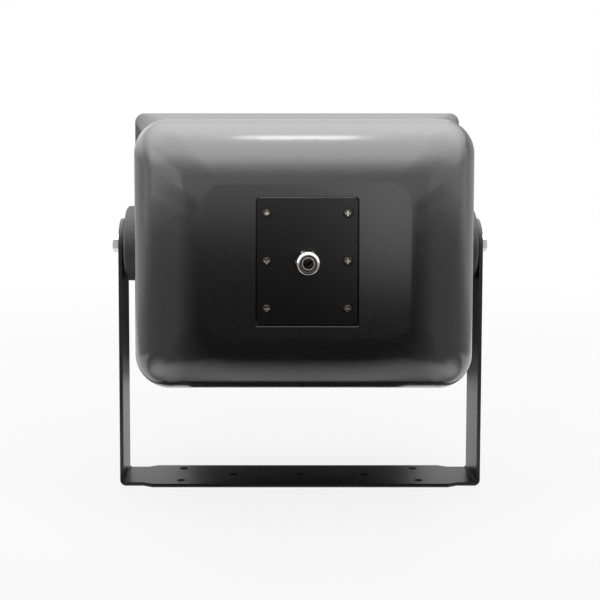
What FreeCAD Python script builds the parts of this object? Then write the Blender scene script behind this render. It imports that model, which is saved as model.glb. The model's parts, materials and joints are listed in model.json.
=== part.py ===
import FreeCAD, Part
import math
import os

# Horn speaker on a tilting U-bracket. Millimetres. X runs across, Y to the rear, Z up.
# The origin is under the pivot axis, on the underside of the bracket's base.

V = FreeCAD.Vector
ACROSS = V(1, 0, 0)
REAR = V(0, 1, 0)
UP = V(0, 0, 1)

# Bracket strap
bracket_width = 301.0
strap_thick = 3.0
arm_width = 42.0
base_width = 50.0
bend_radius = 2.0
base_step_start = 27.5
base_step_run = 8.0
pivot_height = 202.0
base_hole_radius = 3.5
base_holes_across = 200.0
base_holes_along = 32.0
centre_hole_pitch = 56.0

# Pivot hardware, M8
bolt_radius = 4.0
bolt_head_flats = 13.0
bolt_head_high = 5.3
washer_radius = 8.0
washer_thick = 1.6
friction_washer_radius = 20.0
friction_washer_thick = 2.5
insert_radius = 6.0
insert_length = 16.0
boss_radius = 31.5
boss_chamfer = 1.5
arm_hole_clearance = 0.2

# Shell
total_depth = 210.0
pivot_depth = 134.0
axis_drop = 2.0
shell_side_gap = 19.9
shell_wall = 4.0
draft_degrees = 2.0
rear_round_side = 54.0
rear_round_top = 46.0
rear_flat_corner = 14.0
rear_round_depth = 60.0
body_corner = 26.0
skirt_length = 21.0
rim_thick = 5.0
rim_corner = 8.5
rim_side_clearance = 1.1
rim_half_height = 114.6
rim_overhang = 13.5

# Horn
horn_flange_thick = 6.5
horn_flange_round = 3.0
mouth_gasket_thick = 1.5
gasket_inset = 1.0
mouth_margin = 17.4
mouth_corner = 32.0
mouth_bow = 0.8
horn_length = 110.0
throat_radius = 12.5
flare_straight_share = 0.75
horn_wall = 2.6
throat_disc_radius = 38.0
throat_disc_thick = 7.0

# Horn screws, countersunk M4
horn_screw_radius = 2.0
horn_screw_head_radius = 4.0
horn_screw_length = 16.0
horn_screw_end_gap = 2.0
horn_screw_edge = 7.5

# Rear cover
plate_width = 72.5
plate_height = 91.4
plate_thick = 4.0
plate_corner = 3.0
plate_chamfer = 0.6
plate_gap = 0.7
plate_sink = 0.5
plate_gasket_thick = 1.0
plate_screw_x = 28.8
plate_screw_z = 34.1
plate_screw_radius = 1.95
plate_screw_length = 13.0
plate_head_radius = 3.2
plate_head_high = 2.0
counterbore_radius = 4.1
counterbore_deep = 2.2
access_half_width = 23.0
access_half_height = 29.0
pad_margin = 9.0
pad_depth = 10.0
screw_post_radius = 4.7
screw_post_length = 8.0

# Cable gland
gland_thread_radius = 6.0
gland_flats = 15.0
gland_flange_thick = 4.0
gland_washer_thick = 1.0
gland_bore_radius = 4.2
gland_nut_hex = 7.0
gland_nut_dome = 5.0
gland_mouth_radius = 6.1
gland_dome_round = 1.3
gland_nut_turn = 12.0
gland_neck = 3.0
cable_radius = 3.5
locknut_thick = 3.0
stub_past_locknut = 4.0
seal_sink = 1.0

# Compression driver
driver_radius = 40.0
steel_radius = 38.0
throat_gasket_thick = 1.0
housing_thick = 16.0
coil_radius = 18.0
dome_rise = 4.0
film_thick = 0.5
plug_ring_thick = 6.0
top_plate_thick = 6.0
magnet_thick = 14.0
magnet_bore = 22.0
yoke_thick = 6.0
pole_radius = 16.5
driver_bolt_radius = 2.5
driver_bolt_circle = 30.0
driver_bolt_reach = 10.0
driver_bolt_flats = 8.0
driver_bolt_head = 3.5
film_flange = 6.0
coil_wall = 0.8
coil_reach = 8.0
plug_tip_gap = 2.0
plug_spoke = 3.0

# Line transformer
core_width = 48.0
core_height = 40.0
core_stack = 16.0
core_leg = 8.0
winding_overhang = 6.0
frame_thick = 1.0
frame_foot = 15.0
transformer_y = 0.0
floor_boss_high = 5.0
floor_boss_radius = 5.0
winding_round = 3.0

# Wiring
block_width = 36.0
block_depth = 12.0
block_height = 13.0
block_drop = 20.0
block_end = 3.5
block_sink = 3.0
clamp_pitch = 6.0
clamp_radius = 2.2
clamp_length = 3.5
clamp_sink = 1.5
clamp_rise = 2.5
tab_drop = 20.0
tab_width = 6.0
tab_thick = 0.8
tab_reach = 6.0
tab_block_half = 6.0
tab_block_thick = 5.0
tab_block_end = 5.0
lead_radius = 1.2
lead_bend = 9.0
lead_turn_gap = 5.0
input_lead_half = 3.0
driver_lead_half = 11.0
lead_level_drop = 3.5
lead_split = 4.0

# Small pan-head screws, M3
small_screw_radius = 1.5
small_screw_reach = 5.0
small_head_radius = 2.8
small_head_high = 2.0

# Shared clearances
fit_gap = 0.05
loose_gap = 0.3
cut_past = 1.0

# Derived places
rear_y = pivot_depth
front_y = rear_y - total_depth
bracket_inner = bracket_width / 2 - strap_thick
boss_face = bracket_inner - friction_washer_thick
rim_half_width = bracket_inner - rim_side_clearance
shell_half_width = bracket_inner - shell_side_gap
shell_half_height = rim_half_height - rim_overhang
rear_flat_half_width = shell_half_width - rear_round_side
rear_flat_half_height = shell_half_height - rear_round_top
mouth_half_width = rim_half_width - mouth_margin
mouth_half_height = rim_half_height - mouth_margin
rim_front_depth = total_depth - horn_flange_thick - mouth_gasket_thick
skirt_end_depth = rim_front_depth - rim_thick
skirt_start_depth = skirt_end_depth - skirt_length
draft = math.tan(math.radians(draft_degrees))
axis_height = pivot_height - axis_drop
throat_y = front_y + horn_length
plate_face_y = rear_y - plate_sink
plate_back_y = plate_face_y - plate_thick
landing_y = plate_back_y - plate_gasket_thick
pad_front_y = rear_y - pad_depth
housing_y = throat_y + throat_gasket_thick
gap_y = housing_y + housing_thick
yoke_y = gap_y + top_plate_thick + magnet_thick
driver_end_y = yoke_y + yoke_thick
gland_y = plate_face_y + gland_washer_thick
gland_nut_y = gland_y + gland_flange_thick
gland_tip_y = gland_nut_y + gland_nut_hex + gland_nut_dome


def rod(radius, start, direction, length):
    return Part.makeCylinder(radius, length, start, direction)


def ring(outer, inner, start, direction, length):
    return rod(outer, start, direction, length).cut(rod(inner, start, direction, length))


def box(low, high):
    return Part.makeBox(high.x - low.x, high.y - low.y, high.z - low.z, low)


def axis_point(y):
    return V(0, y, axis_height)


def place_along(shape, point, direction):
    # Turns a shape built along +Z so that +Z becomes the direction, and moves it to the point.
    placed = shape.copy()
    placed.Placement = FreeCAD.Placement(point, FreeCAD.Rotation(UP, direction)).multiply(shape.Placement)
    return placed


def hexagon(flats, start_z, high):
    corner = flats / math.sqrt(3)
    points = []
    for turn in range(7):
        angle = math.radians(60 * turn)
        points.append(V(corner * math.cos(angle), corner * math.sin(angle), start_z))
    return Part.Face(Part.makePolygon(points)).extrude(V(0, 0, high))


def chamfered_hexagon(flats, start_z, high):
    # The turned chamfer on the outer corners leaves a round top.
    corner = flats / math.sqrt(3)
    lead = (corner - flats / 2) * 1.1
    cone_low = start_z + high - lead
    blank = rod(corner + 1, V(0, 0, start_z), UP, high - lead)
    blank = blank.fuse(Part.makeCone(corner + 0.02, flats / 2 - 0.25, lead, V(0, 0, cone_low), UP))
    return hexagon(flats, start_z, high).common(blank)


def cross_recess(radius, depth, top_z):
    arm = radius * 0.6
    half = radius * 0.15
    one = box(V(-arm, -half, top_z - depth), V(arm, half, top_z + 1))
    other = box(V(-half, -arm, top_z - depth), V(half, arm, top_z + 1))
    return one.fuse(other)


def pan_screw(radius, length, head_radius, head_high):
    # Seat of the head at Z = 0, shank downwards.
    head = rod(head_radius, V(0, 0, 0), UP, head_high)
    rim = [edge for edge in head.Edges if edge.BoundBox.ZMin > head_high - 0.01]
    head = head.makeFillet(head_high * 0.45, rim)
    screw = head.fuse(rod(radius, V(0, 0, -length), UP, length))
    return screw.cut(cross_recess(head_radius, head_high * 0.6, head_high))


def countersunk_screw(radius, length, head_radius):
    # Top of the head at Z = 0, shank downwards.
    deep = head_radius - radius
    head = Part.makeCone(radius, head_radius, deep, V(0, 0, -deep), UP)
    screw = head.fuse(rod(radius, V(0, 0, -length), UP, length - deep))
    return screw.cut(cross_recess(head_radius, deep * 0.7, 0))


def hex_bolt(radius, length, flats, high):
    return chamfered_hexagon(flats, 0, high).fuse(rod(radius, V(0, 0, -length), UP, length))


def outline(half_width, half_height, corner, y):
    # A rounded rectangle about the horn axis, of four sides and four corner arcs.
    edges = []
    inset = corner * (1 - math.cos(math.radians(45)))
    for sx, sz in ((1, 1), (-1, 1), (-1, -1), (1, -1)):
        side = V(sx * half_width, y, axis_height + sz * (half_height - corner))
        middle = V(sx * (half_width - inset), y, axis_height + sz * (half_height - inset))
        top = V(sx * (half_width - corner), y, axis_height + sz * half_height)
        edges.append((side, middle, top) if sx == sz else (top, middle, side))
    parts = []
    for index, (start, middle, end) in enumerate(edges):
        following = edges[(index + 1) % 4][0]
        parts.append(Part.Arc(start, middle, end).toShape())
        parts.append(Part.makeLine(end, following))
    return Part.Wire(parts)


def slab(half_width, half_height, corner, y, thick):
    return Part.Face(outline(half_width, half_height, corner, y)).extrude(V(0, thick, 0))


def loft(wires, ruled=False):
    return Part.makeLoft(wires, True, ruled)


def drafted(half, depth):
    return half + depth * draft


# Bracket

def u_bracket():
    half = bracket_width / 2
    top = pivot_height + arm_width / 2
    outer = box(V(-half, -base_width / 2, 0), V(half, base_width / 2, top))
    lower = [e for e in outer.Edges if e.BoundBox.ZMax < 0.01 and e.BoundBox.XLength < 0.01]
    outer = outer.makeFillet(bend_radius + strap_thick, lower)
    inner = box(V(-bracket_inner, -base_width, strap_thick), V(bracket_inner, base_width, top + 1))
    lower = [
        e
        for e in inner.Edges
        if abs(e.BoundBox.ZMax - strap_thick) < 0.01 and e.BoundBox.XLength < 0.01
    ]
    strap = outer.cut(inner.makeFillet(bend_radius, lower))
    for trim in arm_trims(top):
        strap = strap.cut(trim)
    strap = strap.cut(arm_end_trim(top))
    for hole in base_holes():
        strap = strap.cut(hole)
    hole = rod(bolt_radius + arm_hole_clearance, V(-half - 1, 0, pivot_height), ACROSS, bracket_width + 2)
    return strap.cut(hole)


def arm_trims(top):
    # The strap is narrower from the ends of the base up through the arms.
    half = bracket_width / 2
    full = half - base_step_start
    trims = []
    for sx in (-1, 1):
        for sy in (-1, 1):
            points = [
                V(sx * full, sy * base_width / 2, -1),
                V(sx * (full + base_step_run), sy * arm_width / 2, -1),
                V(sx * (half + 1), sy * arm_width / 2, -1),
                V(sx * (half + 1), sy * (base_width / 2 + 1), -1),
                V(sx * full, sy * (base_width / 2 + 1), -1),
            ]
            points.append(points[0])
            trims.append(Part.Face(Part.makePolygon(points)).extrude(V(0, 0, top + 2)))
    return trims


def arm_end_trim(top):
    half = bracket_width / 2 + 1
    above = box(V(-half, -base_width, pivot_height), V(half, base_width, top + 1))
    return above.cut(rod(arm_width / 2, V(-half, 0, pivot_height), ACROSS, 2 * half))


def base_holes():
    places = [(-centre_hole_pitch, 0), (0, 0), (centre_hole_pitch, 0)]
    for sx in (-1, 1):
        for sy in (-1, 1):
            places.append((sx * base_holes_across / 2, sy * base_holes_along / 2))
    return [rod(base_hole_radius, V(x, y, -1), UP, strap_thick + 2) for x, y in places]


# Pivot hardware, one of each on both sides

def both_sides(make):
    return Part.makeCompound([make(-1), make(1)])


def pivot_bolt(side):
    seat = bracket_width / 2 + washer_thick
    reach = seat - boss_face + insert_length - 1
    bolt = hex_bolt(bolt_radius, reach, bolt_head_flats, bolt_head_high)
    return place_along(bolt, V(side * seat, 0, pivot_height), V(side, 0, 0))


def pivot_washer(side):
    start = V(side * bracket_width / 2, 0, pivot_height)
    return ring(washer_radius, bolt_radius + arm_hole_clearance, start, V(side, 0, 0), washer_thick)


def friction_washer(side):
    start = V(side * boss_face, 0, pivot_height)
    return ring(
        friction_washer_radius, bolt_radius + loose_gap, start, V(side, 0, 0), friction_washer_thick
    )


def pivot_insert(side):
    start = V(side * boss_face, 0, pivot_height)
    return ring(insert_radius, bolt_radius + fit_gap, start, V(-side, 0, 0), insert_length)


# Shell

def rounded_section(angle, inset):
    # One section of the rounded rear, from the flat at 0 degrees to the side walls at 90.
    rise = math.sin(math.radians(angle))
    depth = rear_round_depth - (rear_round_depth - inset) * math.cos(math.radians(angle))
    wide = rear_flat_half_width + (shell_half_width - inset - rear_flat_half_width) * rise
    high = rear_flat_half_height + (shell_half_height - inset - rear_flat_half_height) * rise
    corner = rear_flat_corner + (body_corner - inset - rear_flat_corner) * rise
    return outline(drafted(wide, depth), drafted(high, depth), corner, rear_y - depth)


def wall_section(depth, inset):
    wide = drafted(shell_half_width - inset, depth)
    high = drafted(shell_half_height - inset, depth)
    return outline(wide, high, body_corner - inset, rear_y - depth)


def skirt_section(share):
    # The skirt leaves the side wall gently and widens towards the rim.
    depth = skirt_start_depth + skirt_length * share
    spread = share ** 1.8
    wide = drafted(shell_half_width, depth)
    high = drafted(shell_half_height, depth)
    wide = wide + (rim_half_width - wide) * spread
    high = high + (rim_half_height - high) * spread
    corner = body_corner + (rim_corner - body_corner) * spread
    return outline(wide, high, corner, rear_y - depth)


def rounded_rear(inset):
    return loft([rounded_section(angle, inset) for angle in (0, 15, 30, 45, 60, 75, 90)])


def shell_outside():
    body = loft([wall_section(rear_round_depth, 0), wall_section(skirt_start_depth, 0)], True)
    skirt = loft([skirt_section(share) for share in (0, 0.25, 0.5, 0.75, 1)])
    rim_y = rear_y - rim_front_depth
    rim = slab(rim_half_width, rim_half_height, rim_corner, rim_y, rim_thick)
    outside = rounded_rear(0).fuse([body, skirt, rim])
    for side in (-1, 1):
        outside = outside.fuse(side_boss(side))
    return outside.removeSplitter()


def side_boss(side):
    start = V(side * shell_half_width, 0, pivot_height)
    boss = rod(boss_radius, start, V(side, 0, 0), boss_face - shell_half_width)
    face = [e for e in boss.Edges if abs(abs(e.CenterOfMass.x) - boss_face) < 0.01]
    return boss.makeChamfer(boss_chamfer, face)


def shell_cavity():
    past = rim_front_depth + 1
    body = loft([wall_section(rear_round_depth, shell_wall), wall_section(past, shell_wall)], True)
    cavity = rounded_rear(shell_wall).fuse(body)
    for side in (-1, 1):
        start = V(side * (shell_half_width - shell_wall), 0, pivot_height)
        reach = boss_face - shell_half_width
        cavity = cavity.fuse(rod(boss_radius - shell_wall, start, V(side, 0, 0), reach))
    return cavity


def shell_inner_bosses():
    pieces = [slab(plate_width / 2 + pad_margin, plate_height / 2 + pad_margin, plate_corner + pad_margin,
                   pad_front_y, pad_depth - shell_wall / 2)]
    for x, z in plate_screw_places():
        start = V(x, pad_front_y - screw_post_length, z)
        pieces.append(rod(screw_post_radius, start, REAR, screw_post_length + shell_wall / 2))
    for side in (-1, 1):
        start = V(side * (boss_face - shell_wall / 2), 0, pivot_height)
        pieces.append(rod(insert_radius * 2, start, V(-side, 0, 0), insert_length + 1))
    for x in transformer_screw_places():
        start = V(x, transformer_y, transformer_floor() - shell_wall / 2)
        pieces.append(rod(floor_boss_radius, start, UP, floor_boss_high + shell_wall / 2))
    return pieces


def rear_shell():
    shell = shell_outside().cut(shell_cavity()).fuse(shell_inner_bosses())
    recess = slab(plate_width / 2 + plate_gap, plate_height / 2 + plate_gap, plate_corner + plate_gap,
                  landing_y, rear_y - landing_y + 1)
    access = slab(access_half_width, access_half_height, plate_corner, pad_front_y - 1, pad_depth + 2)
    cuts = [recess, access]
    for x, z in plate_screw_places():
        start = V(x, plate_screw_tip_y() - loose_gap, z)
        cuts.append(rod(plate_screw_radius + fit_gap, start, REAR, rear_y - start.y + cut_past))
    for side in (-1, 1):
        start = V(side * (boss_face + 1), 0, pivot_height)
        cuts.append(rod(insert_radius + fit_gap, start, V(-side, 0, 0), insert_length + 1 + fit_gap))
    for x, z in horn_screw_places():
        start = V(x, front_y, z)
        cuts.append(rod(horn_screw_radius + fit_gap, start, REAR, horn_screw_length + horn_screw_end_gap))
    for x in transformer_screw_places():
        start = V(x, transformer_y, transformer_base() + 1)
        cuts.append(rod(small_screw_radius + fit_gap, start, -UP, small_screw_reach + loose_gap + 1))
    return shell.cut(cuts).removeSplitter()


# Horn

def horn_section(share, grow, shift):
    # Eight arcs that form a circle at the throat (0) and a soft rectangle at the mouth (1).
    spread = flare_straight_share * share + (1 - flare_straight_share) * share ** 3
    wide_arc = math.cos(math.radians(22.5))
    narrow_arc = math.sin(math.radians(22.5))
    round_arc = math.cos(math.radians(45))

    def between(at_throat, at_mouth):
        return at_throat + (at_mouth - at_throat) * spread

    half_width = between(throat_radius * wide_arc, mouth_half_width) + grow
    half_height = between(throat_radius * wide_arc, mouth_half_height) + grow
    corner = between(throat_radius * (wide_arc - narrow_arc), mouth_corner) + grow
    cut_in = between((wide_arc - round_arc) / (wide_arc - narrow_arc), 1 - round_arc) * corner
    bow = between(throat_radius * (1 - wide_arc), mouth_bow)
    y = throat_y - horn_length * share + shift
    corners = []
    for sx, sz in ((1, 1), (-1, 1), (-1, -1), (1, -1)):
        side = V(sx * half_width, y, axis_height + sz * (half_height - corner))
        middle = V(sx * (half_width - cut_in), y, axis_height + sz * (half_height - cut_in))
        top = V(sx * (half_width - corner), y, axis_height + sz * half_height)
        corners.append((side, middle, top) if sx == sz else (top, middle, side))
    bows = [V(0, y, axis_height + half_height + bow), V(-half_width - bow, y, axis_height),
            V(0, y, axis_height - half_height - bow), V(half_width + bow, y, axis_height)]
    edges = []
    for index, (start, middle, end) in enumerate(corners):
        edges.append(Part.Arc(start, middle, end).toShape())
        edges.append(Part.Arc(end, bows[index], corners[(index + 1) % 4][0]).toShape())
    return Part.Wire(edges)


def horn_screw_places():
    x = rim_half_width - horn_screw_edge
    z = rim_half_height - horn_screw_edge
    places = []
    for sz in (-1, 1):
        for share in (-0.8, 0, 0.8):
            places.append((x * share, axis_height + sz * z))
        for sx in (-1, 1):
            places.append((sx * x, axis_height + sz * z * 0.45))
    return places


def driver_bolt_places():
    places = []
    for turn in (0, 90, 180, 270):
        angle = math.radians(turn)
        places.append((driver_bolt_circle * math.cos(angle),
                       axis_height + driver_bolt_circle * math.sin(angle)))
    return places


def horn_flare():
    shares = (0, 0.12, 0.26, 0.42, 0.58, 0.74, 0.88, 1.0)
    inside = loft([horn_section(share, 0, 0) for share in shares + (1.04,)])
    outside = loft([horn_section(share, horn_wall, horn_wall) for share in (0.05,) + shares[1:]])
    flange = slab(rim_half_width, rim_half_height, rim_corner, front_y, horn_flange_thick)
    face = [e for e in flange.Edges if e.BoundBox.YMax < front_y + 0.01]
    flange = flange.makeFillet(horn_flange_round, face)
    disc = rod(throat_disc_radius, axis_point(throat_y - throat_disc_thick), REAR, throat_disc_thick)
    bore = rod(throat_radius, axis_point(throat_y - 0.5), REAR, 1)
    cuts = [inside, bore]
    sink = horn_screw_head_radius - horn_screw_radius
    for x, z in horn_screw_places():
        cuts.append(rod(horn_screw_radius + loose_gap, V(x, front_y - 1, z), REAR, horn_flange_thick + 2))
        cuts.append(Part.makeCone(horn_screw_head_radius + fit_gap, horn_screw_radius, sink + fit_gap,
                                  V(x, front_y, z), REAR))
    for x, z in driver_bolt_places():
        start = V(x, throat_y - throat_disc_thick - 1, z)
        cuts.append(rod(driver_bolt_radius + loose_gap, start, REAR, throat_disc_thick + 2))
    return outside.fuse([flange, disc]).cut(cuts)


def mouth_gasket():
    y = front_y + horn_flange_thick
    past_horn = horn_wall + gasket_inset
    frame = slab(rim_half_width - gasket_inset, rim_half_height - gasket_inset, rim_corner - gasket_inset,
                 y, mouth_gasket_thick)
    frame = frame.cut(slab(mouth_half_width + past_horn, mouth_half_height + past_horn,
                           mouth_corner + past_horn, y, mouth_gasket_thick))
    holes = [rod(horn_screw_radius + loose_gap, V(x, y, z), REAR, mouth_gasket_thick)
             for x, z in horn_screw_places()]
    return frame.cut(holes)


def horn_screws():
    screw = countersunk_screw(horn_screw_radius, horn_screw_length, horn_screw_head_radius)
    return Part.makeCompound([place_along(screw, V(x, front_y, z), -REAR) for x, z in horn_screw_places()])


# Rear cover and cable gland

def plate_screw_places():
    places = []
    for sx in (-1, 1):
        for step in (-1, 0, 1):
            places.append((sx * plate_screw_x, axis_height + step * plate_screw_z))
    return places


def plate_screw_seat_y():
    return plate_face_y - counterbore_deep


def plate_screw_tip_y():
    return plate_screw_seat_y() - plate_screw_length


def cover_plate():
    plate = slab(plate_width / 2, plate_height / 2, plate_corner, plate_back_y, plate_thick)
    face = [e for e in plate.Edges if e.BoundBox.YMin > plate_face_y - 0.01]
    plate = plate.makeChamfer(plate_chamfer, face)
    cuts = [rod(gland_thread_radius + fit_gap, axis_point(plate_back_y - 1), REAR, plate_thick + 2)]
    for x, z in plate_screw_places():
        cuts.append(rod(plate_screw_radius + loose_gap, V(x, plate_back_y - 1, z), REAR, plate_thick))
        cuts.append(rod(counterbore_radius, V(x, plate_screw_seat_y(), z), REAR, counterbore_deep + 1))
    for x in block_screw_places():
        cuts.append(rod(small_screw_radius + fit_gap, V(x, plate_back_y, block_z()), REAR, plate_thick / 2))
    return plate.cut(cuts)


def cover_gasket():
    sheet = slab(plate_width / 2, plate_height / 2, plate_corner, landing_y, plate_gasket_thick)
    cuts = [slab(access_half_width, access_half_height, plate_corner, landing_y, plate_gasket_thick)]
    for x, z in plate_screw_places():
        cuts.append(rod(plate_screw_radius + loose_gap, V(x, landing_y, z), REAR, plate_gasket_thick))
    return sheet.cut(cuts)


def cover_screws():
    screw = pan_screw(plate_screw_radius, plate_screw_length, plate_head_radius, plate_head_high)
    seat = plate_screw_seat_y()
    return Part.makeCompound([place_along(screw, V(x, seat, z), REAR) for x, z in plate_screw_places()])


def gland_washer():
    return ring(gland_flats / 2 - loose_gap, gland_thread_radius + fit_gap, axis_point(plate_face_y), REAR,
                gland_washer_thick)


def gland_body():
    flange = place_along(hexagon(gland_flats, 0, gland_flange_thick), axis_point(gland_y), REAR)
    inward = gland_y - plate_back_y + locknut_thick + stub_past_locknut
    stub = rod(gland_thread_radius, axis_point(gland_y - inward), REAR, inward)
    neck = rod(gland_thread_radius, axis_point(gland_nut_y), REAR, gland_neck)
    whole = inward + gland_flange_thick + gland_neck
    bore = rod(gland_bore_radius, axis_point(gland_y - inward), REAR, whole)
    return flange.fuse([stub, neck]).cut(bore)


def gland_nut():
    # A hexagon that runs into a round dome, with the seal seated in its mouth.
    dome = rod(gland_flats / 2, V(0, 0, gland_nut_hex), UP, gland_nut_dome)
    tip = [e for e in dome.Edges if e.BoundBox.ZMin > gland_nut_hex + gland_nut_dome - 0.01]
    dome = dome.makeFillet(gland_dome_round, tip)
    thread = rod(gland_thread_radius + fit_gap, V(0, 0, 0), UP, gland_neck + loose_gap)
    mouth = rod(gland_mouth_radius, V(0, 0, gland_neck), UP, gland_nut_hex + gland_nut_dome)
    nut = hexagon(gland_flats, 0, gland_nut_hex).fuse(dome).cut([thread, mouth])
    nut.rotate(V(0, 0, 0), UP, gland_nut_turn)
    return place_along(nut, axis_point(gland_nut_y + loose_gap), REAR)


def gland_seal():
    start = gland_nut_y + gland_neck
    length = gland_tip_y - start - seal_sink
    return ring(gland_mouth_radius - fit_gap, cable_radius, axis_point(start), REAR, length)


def gland_locknut():
    thread = rod(gland_thread_radius + fit_gap, V(0, 0, 0), UP, locknut_thick)
    nut = hexagon(gland_flats, 0, locknut_thick).cut(thread)
    return place_along(nut, axis_point(plate_back_y), -REAR)


# Compression driver, listed from the throat to the rear

def throat_gasket():
    gasket = ring(throat_disc_radius - 1, throat_radius, axis_point(throat_y), REAR, throat_gasket_thick)
    holes = [rod(driver_bolt_radius + loose_gap, V(x, throat_y, z), REAR, throat_gasket_thick)
             for x, z in driver_bolt_places()]
    return gasket.cut(holes)


def film_seat_y():
    return gap_y - film_thick - plug_ring_thick


def film_radius():
    return coil_radius + film_flange


def plug_bore():
    return coil_radius + 2 * coil_wall


def driver_housing():
    body = rod(driver_radius, axis_point(housing_y), REAR, housing_thick)
    cone = Part.makeCone(throat_radius, plug_bore(), housing_thick, axis_point(housing_y), REAR)
    seat = rod(film_radius() + fit_gap, axis_point(film_seat_y()), REAR, housing_thick)
    holes = [rod(driver_bolt_radius + fit_gap, V(x, housing_y, z), REAR, driver_bolt_reach + loose_gap)
             for x, z in driver_bolt_places()]
    return body.cut([cone, seat] + holes)


def turned(points):
    # A solid of revolution about the horn axis. Each point is a radius and a Y.
    corners = [V(radius, y, axis_height) for radius, y in points]
    corners.append(corners[0])
    face = Part.Face(Part.makePolygon(corners))
    return face.revolve(axis_point(0), REAR, 360)


def phase_plug():
    back = film_seat_y() + plug_ring_thick
    tip = housing_y + plug_tip_gap
    rim = ring(film_radius(), plug_bore(), axis_point(film_seat_y()), REAR, plug_ring_thick)
    bullet = turned([(0, tip), (plug_tip_gap, tip + plug_tip_gap / 2), (coil_radius * 0.72, back), (0, back)])
    spokes = []
    for turn in (0, 120, 240):
        spoke = box(V(0, film_seat_y(), -plug_spoke / 2),
                    V((plug_bore() + film_radius()) / 2, back, plug_spoke / 2))
        spoke.rotate(V(0, 0, 0), REAR, turn)
        spoke.translate(V(0, 0, axis_height))
        spokes.append(spoke)
    dome = rod(coil_radius + film_thick, axis_point(back - 2 * film_thick), REAR, 3 * film_thick)
    ball = Part.makeSphere(dome_ball() + 2 * film_thick, axis_point(back + dome_ball() - dome_rise))
    return rim.fuse([bullet] + spokes).cut([ball, dome])


def dome_ball():
    # Radius of the sphere whose cap spans the voice coil and rises by the dome's height.
    return (coil_radius ** 2 + dome_rise ** 2) / (2 * dome_rise)


def diaphragm():
    base = gap_y - film_thick
    centre = base + dome_ball() - dome_rise
    half = math.asin(coil_radius / dome_ball()) / 2
    middle = (dome_ball() * math.sin(half), centre - dome_ball() * math.cos(half))

    def point(radius, y):
        return V(radius, y, axis_height)

    edges = []
    front = Part.Arc(point(0, base - dome_rise), point(*middle), point(coil_radius, base))
    rear = Part.Arc(point(coil_radius, gap_y), point(middle[0], middle[1] + film_thick),
                    point(0, gap_y - dome_rise))
    edges.append(front.toShape())
    edges.append(Part.makeLine(point(coil_radius, base), point(film_radius(), base)))
    edges.append(Part.makeLine(point(film_radius(), base), point(film_radius(), gap_y)))
    edges.append(Part.makeLine(point(film_radius(), gap_y), point(coil_radius, gap_y)))
    edges.append(rear.toShape())
    edges.append(Part.makeLine(point(0, gap_y - dome_rise), point(0, base - dome_rise)))
    return Part.Face(Part.Wire(edges)).revolve(axis_point(0), REAR, 360)


def voice_coil():
    return ring(coil_radius, coil_radius - coil_wall, axis_point(gap_y), REAR, coil_reach)


def top_plate():
    return ring(steel_radius, coil_radius + coil_wall, axis_point(gap_y), REAR, top_plate_thick)


def ring_magnet():
    return ring(driver_radius, magnet_bore, axis_point(gap_y + top_plate_thick), REAR, magnet_thick)


def pole_yoke():
    disc = rod(steel_radius, axis_point(yoke_y), REAR, yoke_thick)
    return disc.fuse(rod(pole_radius, axis_point(gap_y + film_thick), REAR, yoke_y - gap_y))


def driver_bolts():
    reach = throat_disc_thick + throat_gasket_thick + driver_bolt_reach
    bolt = hex_bolt(driver_bolt_radius, reach, driver_bolt_flats, driver_bolt_head)
    y = throat_y - throat_disc_thick
    return Part.makeCompound([place_along(bolt, V(x, y, z), -REAR) for x, z in driver_bolt_places()])


def tab_places():
    return (-driver_lead_half, driver_lead_half)


def tab_z():
    return axis_height - tab_drop


def tab_foot_y():
    return driver_end_y + tab_block_thick / 2


def tab_tip_y():
    return driver_end_y + tab_block_thick + tab_reach


def tab_box(x, side_gap):
    half = V(tab_width / 2 + side_gap, 0, tab_thick / 2 + side_gap)
    return box(V(x, tab_foot_y(), tab_z()) - half, V(x, tab_tip_y(), tab_z()) + half)


def driver_terminal():
    half = driver_lead_half + tab_block_end
    block = box(V(-half, driver_end_y, tab_z() - tab_block_half),
                V(half, driver_end_y + tab_block_thick, tab_z() + tab_block_half))
    return block.cut([tab_box(x, fit_gap) for x in tab_places()])


def driver_tabs():
    return Part.makeCompound([tab_box(x, 0) for x in tab_places()])


# Line transformer on the floor of the shell

def transformer_floor():
    return axis_height - drafted(shell_half_height - shell_wall, rear_y - transformer_y)


def transformer_base():
    return transformer_floor() + floor_boss_high


def transformer_screw_places():
    x = core_width / 2 + frame_thick + frame_foot / 2
    return (-x, x)


def core_middle():
    return transformer_base() + core_height / 2 + loose_gap


def centred_box(x, y, z):
    centre = V(0, transformer_y, core_middle())
    half = V(x / 2, y / 2, z / 2)
    return box(centre - half, centre + half)


def transformer_core():
    core = centred_box(core_width, core_stack, core_height)
    for side in (-1, 1):
        window = centred_box(core_leg, core_stack + 2, core_height - 2 * core_leg)
        window.translate(V(side * core_leg * 1.5, 0, 0))
        core = core.cut(window)
    return core


def transformer_winding():
    clear = 2 * loose_gap
    coil = centred_box(4 * core_leg - clear, core_stack + 2 * winding_overhang,
                       core_height - 2 * core_leg - clear)
    edges = [e for e in coil.Edges if e.BoundBox.ZLength > winding_round]
    coil = coil.makeFillet(winding_round, edges)
    return coil.cut(centred_box(2 * core_leg + clear, core_stack + clear, core_height))


def transformer_frame():
    half = core_width / 2 + fit_gap
    low = transformer_base()
    high = core_middle() + core_height / 2 + fit_gap
    front = transformer_y - core_stack / 2
    rear = transformer_y + core_stack / 2
    outer = half + frame_thick
    arch = box(V(-outer, front, low), V(outer, rear, high + frame_thick))
    arch = arch.cut(box(V(-half, front - 1, low - 1), V(half, rear + 1, high)))
    feet = []
    for side in (-1, 1):
        foot = box(V(0, front, low), V(frame_foot, rear, low + frame_thick))
        foot.translate(V(outer if side > 0 else -outer - frame_foot, 0, 0))
        feet.append(foot)
    holes = [rod(small_screw_radius + loose_gap, V(x, transformer_y, low), UP, frame_thick)
             for x in transformer_screw_places()]
    return arch.fuse(feet).cut(holes).removeSplitter()


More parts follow.
